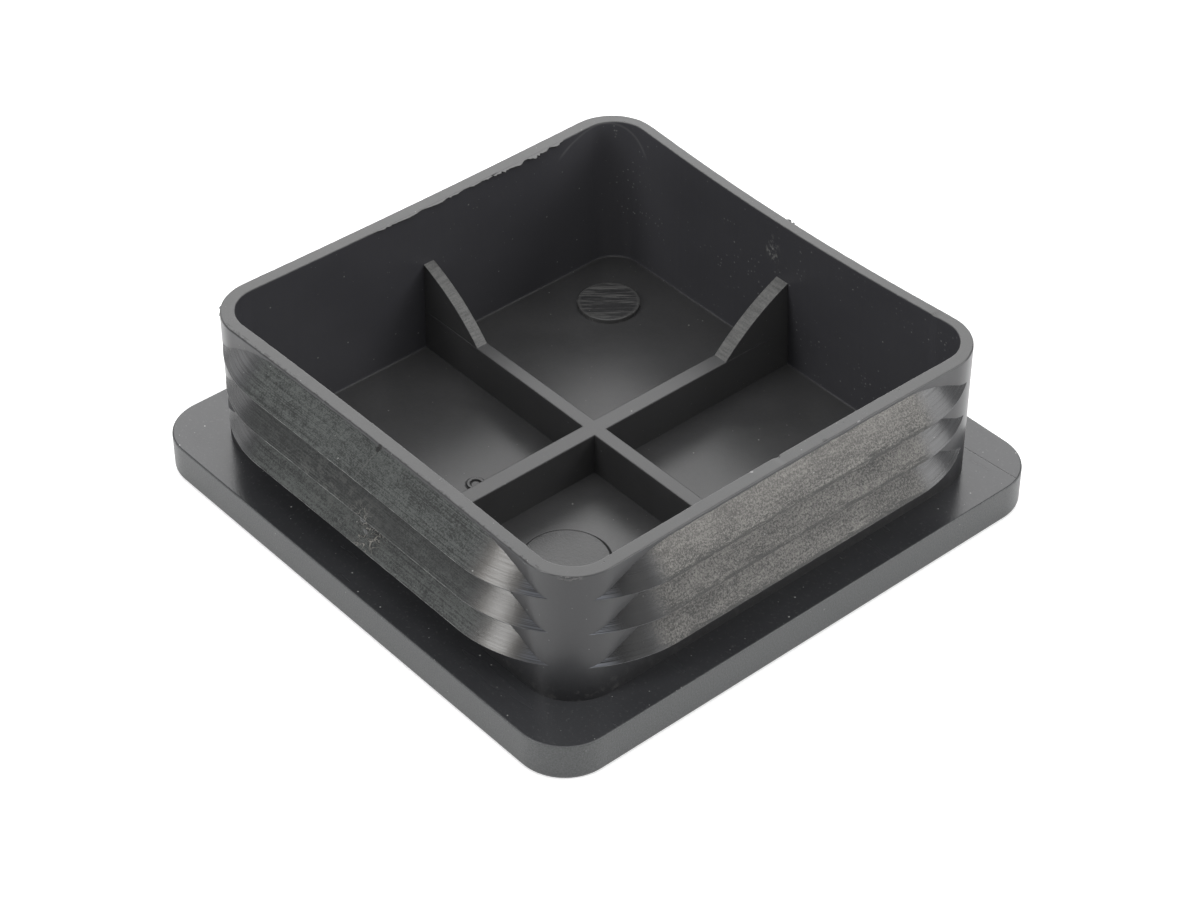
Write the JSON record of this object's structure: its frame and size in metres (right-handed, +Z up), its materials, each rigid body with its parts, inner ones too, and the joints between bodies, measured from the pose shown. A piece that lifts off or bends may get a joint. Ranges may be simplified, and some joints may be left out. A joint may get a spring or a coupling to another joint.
{
  "type": "tube end cap",
  "caption": "Square tube end cap: a flat flange with a hollow barbed plug that pushes into the tube, stiffened inside by a cross of ribs with gussets.",
  "frame": {"origin": "centre of the flange's outer face, which the cap stands on", "axes": "+Z up from the outer face towards the plug's rim, which is the way the cap goes into the tube; X and Y square to the flange's sides, with the thinner, drawn-in wall on the +Y side"},
  "size_m": [0.06, 0.06, 0.0183],
  "materials": {
    "black_plastic": "satin"
  },
  "bodies": {
    "root": {"end_cap": "black_plastic"}
  },
  "joints": []
}
